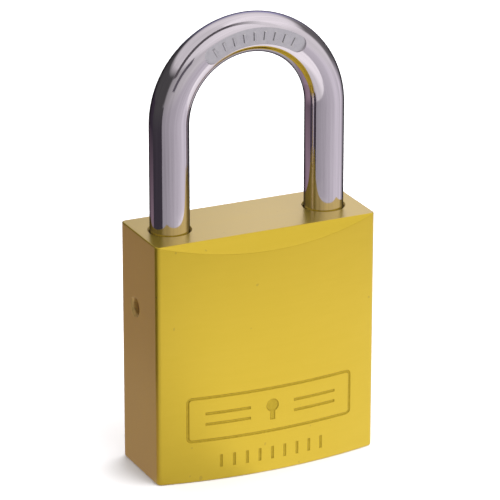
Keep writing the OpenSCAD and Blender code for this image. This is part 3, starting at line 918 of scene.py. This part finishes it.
# ---------------------------------------------------------------- camera, floor and light
AZIMUTH, ELEVATION, ROLL = math.radians(-25.39), math.radians(20.75), math.radians(0.06)
DISTANCE, LENS, SENSOR = 566 * MM, 256.41, 36.0
AIM = Vector((0.291, 0.0, 34.59)) * MM
FLOOR_SIZE, FLOOR_Z = 4000.0, -0.04


def direction(azimuth, elevation):
    """Direction towards a place at these angles round the lock, where azimuth 0 is the front."""
    flat = math.cos(elevation)
    return np.array((math.sin(azimuth) * flat, -math.cos(azimuth) * flat, math.sin(elevation)))


def camera():
    back = Vector(direction(AZIMUTH, ELEVATION))
    cam = bpy.data.cameras.new("camera")
    cam.lens, cam.sensor_width = LENS, SENSOR
    cam.clip_start, cam.clip_end = 0.01, 20
    ob = bpy.data.objects.new("camera", cam)
    bpy.context.scene.collection.objects.link(ob)
    ob.rotation_mode = "QUATERNION"
    ob.location = AIM + back * DISTANCE
    ob.rotation_quaternion = (-back).to_track_quat("-Z", "Y") @ Quaternion((0, 0, 1), ROLL)
    bpy.context.scene.camera = ob


def floor():
    m = Mat("studio_floor", roughness=0.85, specular_ior_level=0.1)
    m.set("base_color", m.mix(m.noise(9, 3), (0.90, 0.90, 0.90), (0.93, 0.93, 0.93)))
    signs = ((-1, -1), (1, -1), (1, 1), (-1, 1))
    corners = [(sx * FLOOR_SIZE, sy * FLOOR_SIZE, FLOOR_Z) for sx, sy in signs]
    ob = make("floor", corners, [(0, 1, 2, 3)], mats=[m.m])


def area(name, place, aim, size, watts):
    """A soft light for the floor and dull surfaces. The tent gives polished ones their gloss."""
    data = bpy.data.lights.new(name, "AREA")
    data.shape, data.size, data.energy = "DISK", size, watts
    ob = bpy.data.objects.new(name, data)
    bpy.context.scene.collection.objects.link(ob)
    ob.location = place
    ob.rotation_euler = (Vector(aim) - Vector(place)).to_track_quat("-Z", "Y").to_euler()
    ob.visible_glossy = False


def azimuth_ramp(m, x, y, stops):
    """Colour by direction round the lock: degrees from the front towards the heel side."""
    turn = m.math("ARCTAN2", m.math("MULTIPLY", x, -1.0), m.math("MULTIPLY", y, -1.0))
    n = m.t.nodes.new("ShaderNodeValToRGB")
    m.put(n.inputs[0], m.math("ADD", m.math("DIVIDE", turn, TAU), 0.5))
    ramp_points(n, [(deg / 360 + 0.5, tuple(v * c for c in tint)) for deg, v, tint in stops])
    return n.outputs[0]


def reflector(name, verts, faces, colour_of):
    """A glowing card that only reflections see. colour_of(material) returns its colour socket."""
    m = Mat(name)
    m.t.nodes.remove(m.p)
    glow = m.t.nodes.new("ShaderNodeEmission")
    m.put(glow.inputs["Color"], colour_of(m))
    m.t.links.new(glow.outputs[0], m.t.nodes["Material Output"].inputs["Surface"])
    ob = make(name, verts, faces, mats=[m.m], smooth=False)
    ob.visible_camera = ob.visible_diffuse = ob.visible_shadow = ob.visible_transmission = False


def band(n):
    """Faces between n pairs of points."""
    return [(2 * k, 2 * k + 2, 2 * k + 3, 2 * k + 1) for k in range(n - 1)]


def fence(corners, high):
    """Upright strips over a line on the floor."""
    return [(x, y, z) for x, y in corners for z in (0.0, high)], band(len(corners))


COOL, NEUTRAL = (1.0, 0.95, 1.04), (1.0, 0.97, 1.0)
BLUISH, BROWN = (0.98, 0.98, 1.52), (1.0, 0.76, 0.95)
TENT_R, TENT_H, TENT_N = 110.0, 150.0, 72
CARD_H = 62.0
OVERHEAD = [(-180, 0.78, NEUTRAL), (-130, 0.92, NEUTRAL), (-50, 0.90, NEUTRAL), (20, 0.78, NEUTRAL),
            (90, 0.60, NEUTRAL), (150, 0.66, NEUTRAL), (180, 0.78, NEUTRAL)]
RIB_R, RIB_N = 90.0, 40


def tent():
    """A light tent: grey low down for the legs, brighter above for the top of the block. Its
    colours are lists of (degrees round the lock, brightness, tint)."""
    turns = [TAU * k / TENT_N for k in range(TENT_N + 1)]
    ring = [(TENT_R * math.sin(t), -TENT_R * math.cos(t)) for t in turns]

    def colour(m):
        x, y, z = m.axes()
        upper = azimuth_ramp(m, x, y, OVERHEAD)
        low = azimuth_ramp(m, x, y, [
            (-180, 0.16, COOL), (-140, 0.12, COOL), (-112, 0.20, COOL), (-98, 0.60, COOL),
            (-84, 0.86, COOL), (-72, 0.66, COOL), (-56, 0.74, COOL), (-35, 0.62, COOL),
            (0, 0.50, COOL), (25, 0.42, COOL), (64, 0.34, COOL), (72, 0.50, COOL), (78, 0.05, COOL),
            (172, 0.05, COOL), (180, 0.16, COOL)])
        high = azimuth_ramp(m, x, y, [
            (-180, 0.30, BLUISH), (-164, 0.62, BLUISH), (-155, 0.84, BLUISH), (-142, 0.86, BLUISH),
            (-126, 0.45, NEUTRAL), (-112, 0.18, NEUTRAL), (-90, 0.18, NEUTRAL),
            (-80, 0.78, NEUTRAL), (0, 0.66, NEUTRAL), (30, 0.52, NEUTRAL), (60, 0.36, NEUTRAL),
            (65, 0.34, NEUTRAL), (73, 0.07, NEUTRAL), (172, 0.07, NEUTRAL), (180, 0.30, BLUISH)])
        high = m.mix(m.span(z, 0.116, 0.140, 0, 1), high, upper)
        return m.mix(m.span(z, 0.045, 0.070, 0, 1), low, high)

    reflector("light_tent", *fence(ring, TENT_H), colour)

    def on_floor(m):
        x, y, z = m.axes()
        return azimuth_ramp(m, x, y, [
            (-180, 0.60, NEUTRAL), (-135, 0.9, NEUTRAL), (-100, 1.0, NEUTRAL), (8, 1.0, NEUTRAL),
            (32, 0.70, NEUTRAL), (60, 0.62, NEUTRAL), (80, 0.36, BROWN), (165, 0.36, BROWN),
            (180, 0.60, NEUTRAL)])

    points = [(x, y, 0.02) for x, y in ring[:-1]] + [(0, 0, 0.02)]
    wedges = [(k, (k + 1) % TENT_N, TENT_N) for k in range(TENT_N)]
    reflector("tent_floor", points, wedges, on_floor)


def by_height(low, high, below, above):
    """A colour that changes over a stretch of height, given in metres."""
    return lambda m: m.mix(m.span(m.axes()[2], low, high, 0, 1), below, above)


def cards():
    """Two dark cards on the heel side, which make that side brown and give the heel leg its dark
    band. They stand along the view: (to the right, away from the camera) for each corner."""
    right = np.array((math.cos(AZIMUTH), math.sin(AZIMUTH)))
    ahead = np.array((-math.sin(AZIMUTH), math.cos(AZIMUTH)))
    for name, line, colour in (
            ("dark_card", ((-50, -54), (-52, 0)),
             by_height(0.040, 0.062, (0.047, 0.040, 0.052), (0.07, 0.068, 0.07))),
            ("brown_card", ((-52, 0), (-58, 90)),
             by_height(0.024, 0.044, (0.31, 0.22, 0.27), (0.045, 0.035, 0.05)))):
        reflector(name, *fence([right * u + ahead * s for u, s in line], CARD_H), colour)


def rib(name, start, top, end, width, colour):
    """A dark rib of the tent, bent through three directions from the arch, each (degrees towards
    the heel side, degrees up). It draws a dark line on the arch."""
    centre = np.array((SH_X, 0.0, ARCH_Z))
    start, top, end = (direction(math.radians(-a), math.radians(e)) for a, e in (start, top, end))
    pull = 2 * top - (start + end) / 2
    line = [centre + RIB_R * unit((1 - t) ** 2 * start + 2 * t * (1 - t) * pull + t * t * end)
            for t in np.linspace(0, 1, RIB_N)]
    verts = []
    for k, p in enumerate(line):
        along = line[min(k + 1, RIB_N - 1)] - line[max(k - 1, 0)]
        half = unit(np.cross(along, p - centre)) * width / 2
        verts += [p - half, p + half]
    reflector(name, verts, band(RIB_N), colour)


def ribs():
    rib("tent_rib", (63, 26), (14, 79), (-45, 27), 17.0,
        lambda m: m.mix(m.span(m.axes()[0], 0.0, 0.040, 0, 1),
                        (0.10, 0.09, 0.10), (0.80, 0.78, 0.80)))
    rib("short_rib", (44, 11), (38, 23.5), (28, 31), 17.0,
        lambda m: m.mix(m.noise(30), (0.10, 0.09, 0.11), (0.13, 0.12, 0.14)))


def world():
    """The room outside the tent: a bright dome, a little darker on the heel side."""
    w = bpy.data.worlds.new("studio")
    bpy.context.scene.world = w
    w.use_nodes = True
    m = Mat.__new__(Mat)
    m.t = w.node_tree
    x, y, z = m.axes(m.t.nodes.new("ShaderNodeTexCoord").outputs["Generated"])
    bg = m.t.nodes["Background"]
    m.put(bg.inputs["Color"], azimuth_ramp(m, x, y, OVERHEAD))
    m.put(bg.inputs["Strength"], m.span(z, 0.0, 1.0, 1.0, 1.08))


bpy.context.scene.view_settings.view_transform = "Standard"
camera()
floor()
world()
tent()
cards()
ribs()
area("key", (0.45, -0.70, 1.10), (0, 0, 0.0), 1.2, 15.0)
area("fill", (0.60, 0.55, 1.10), (0, 0, 0.0), 1.2, 11.0)
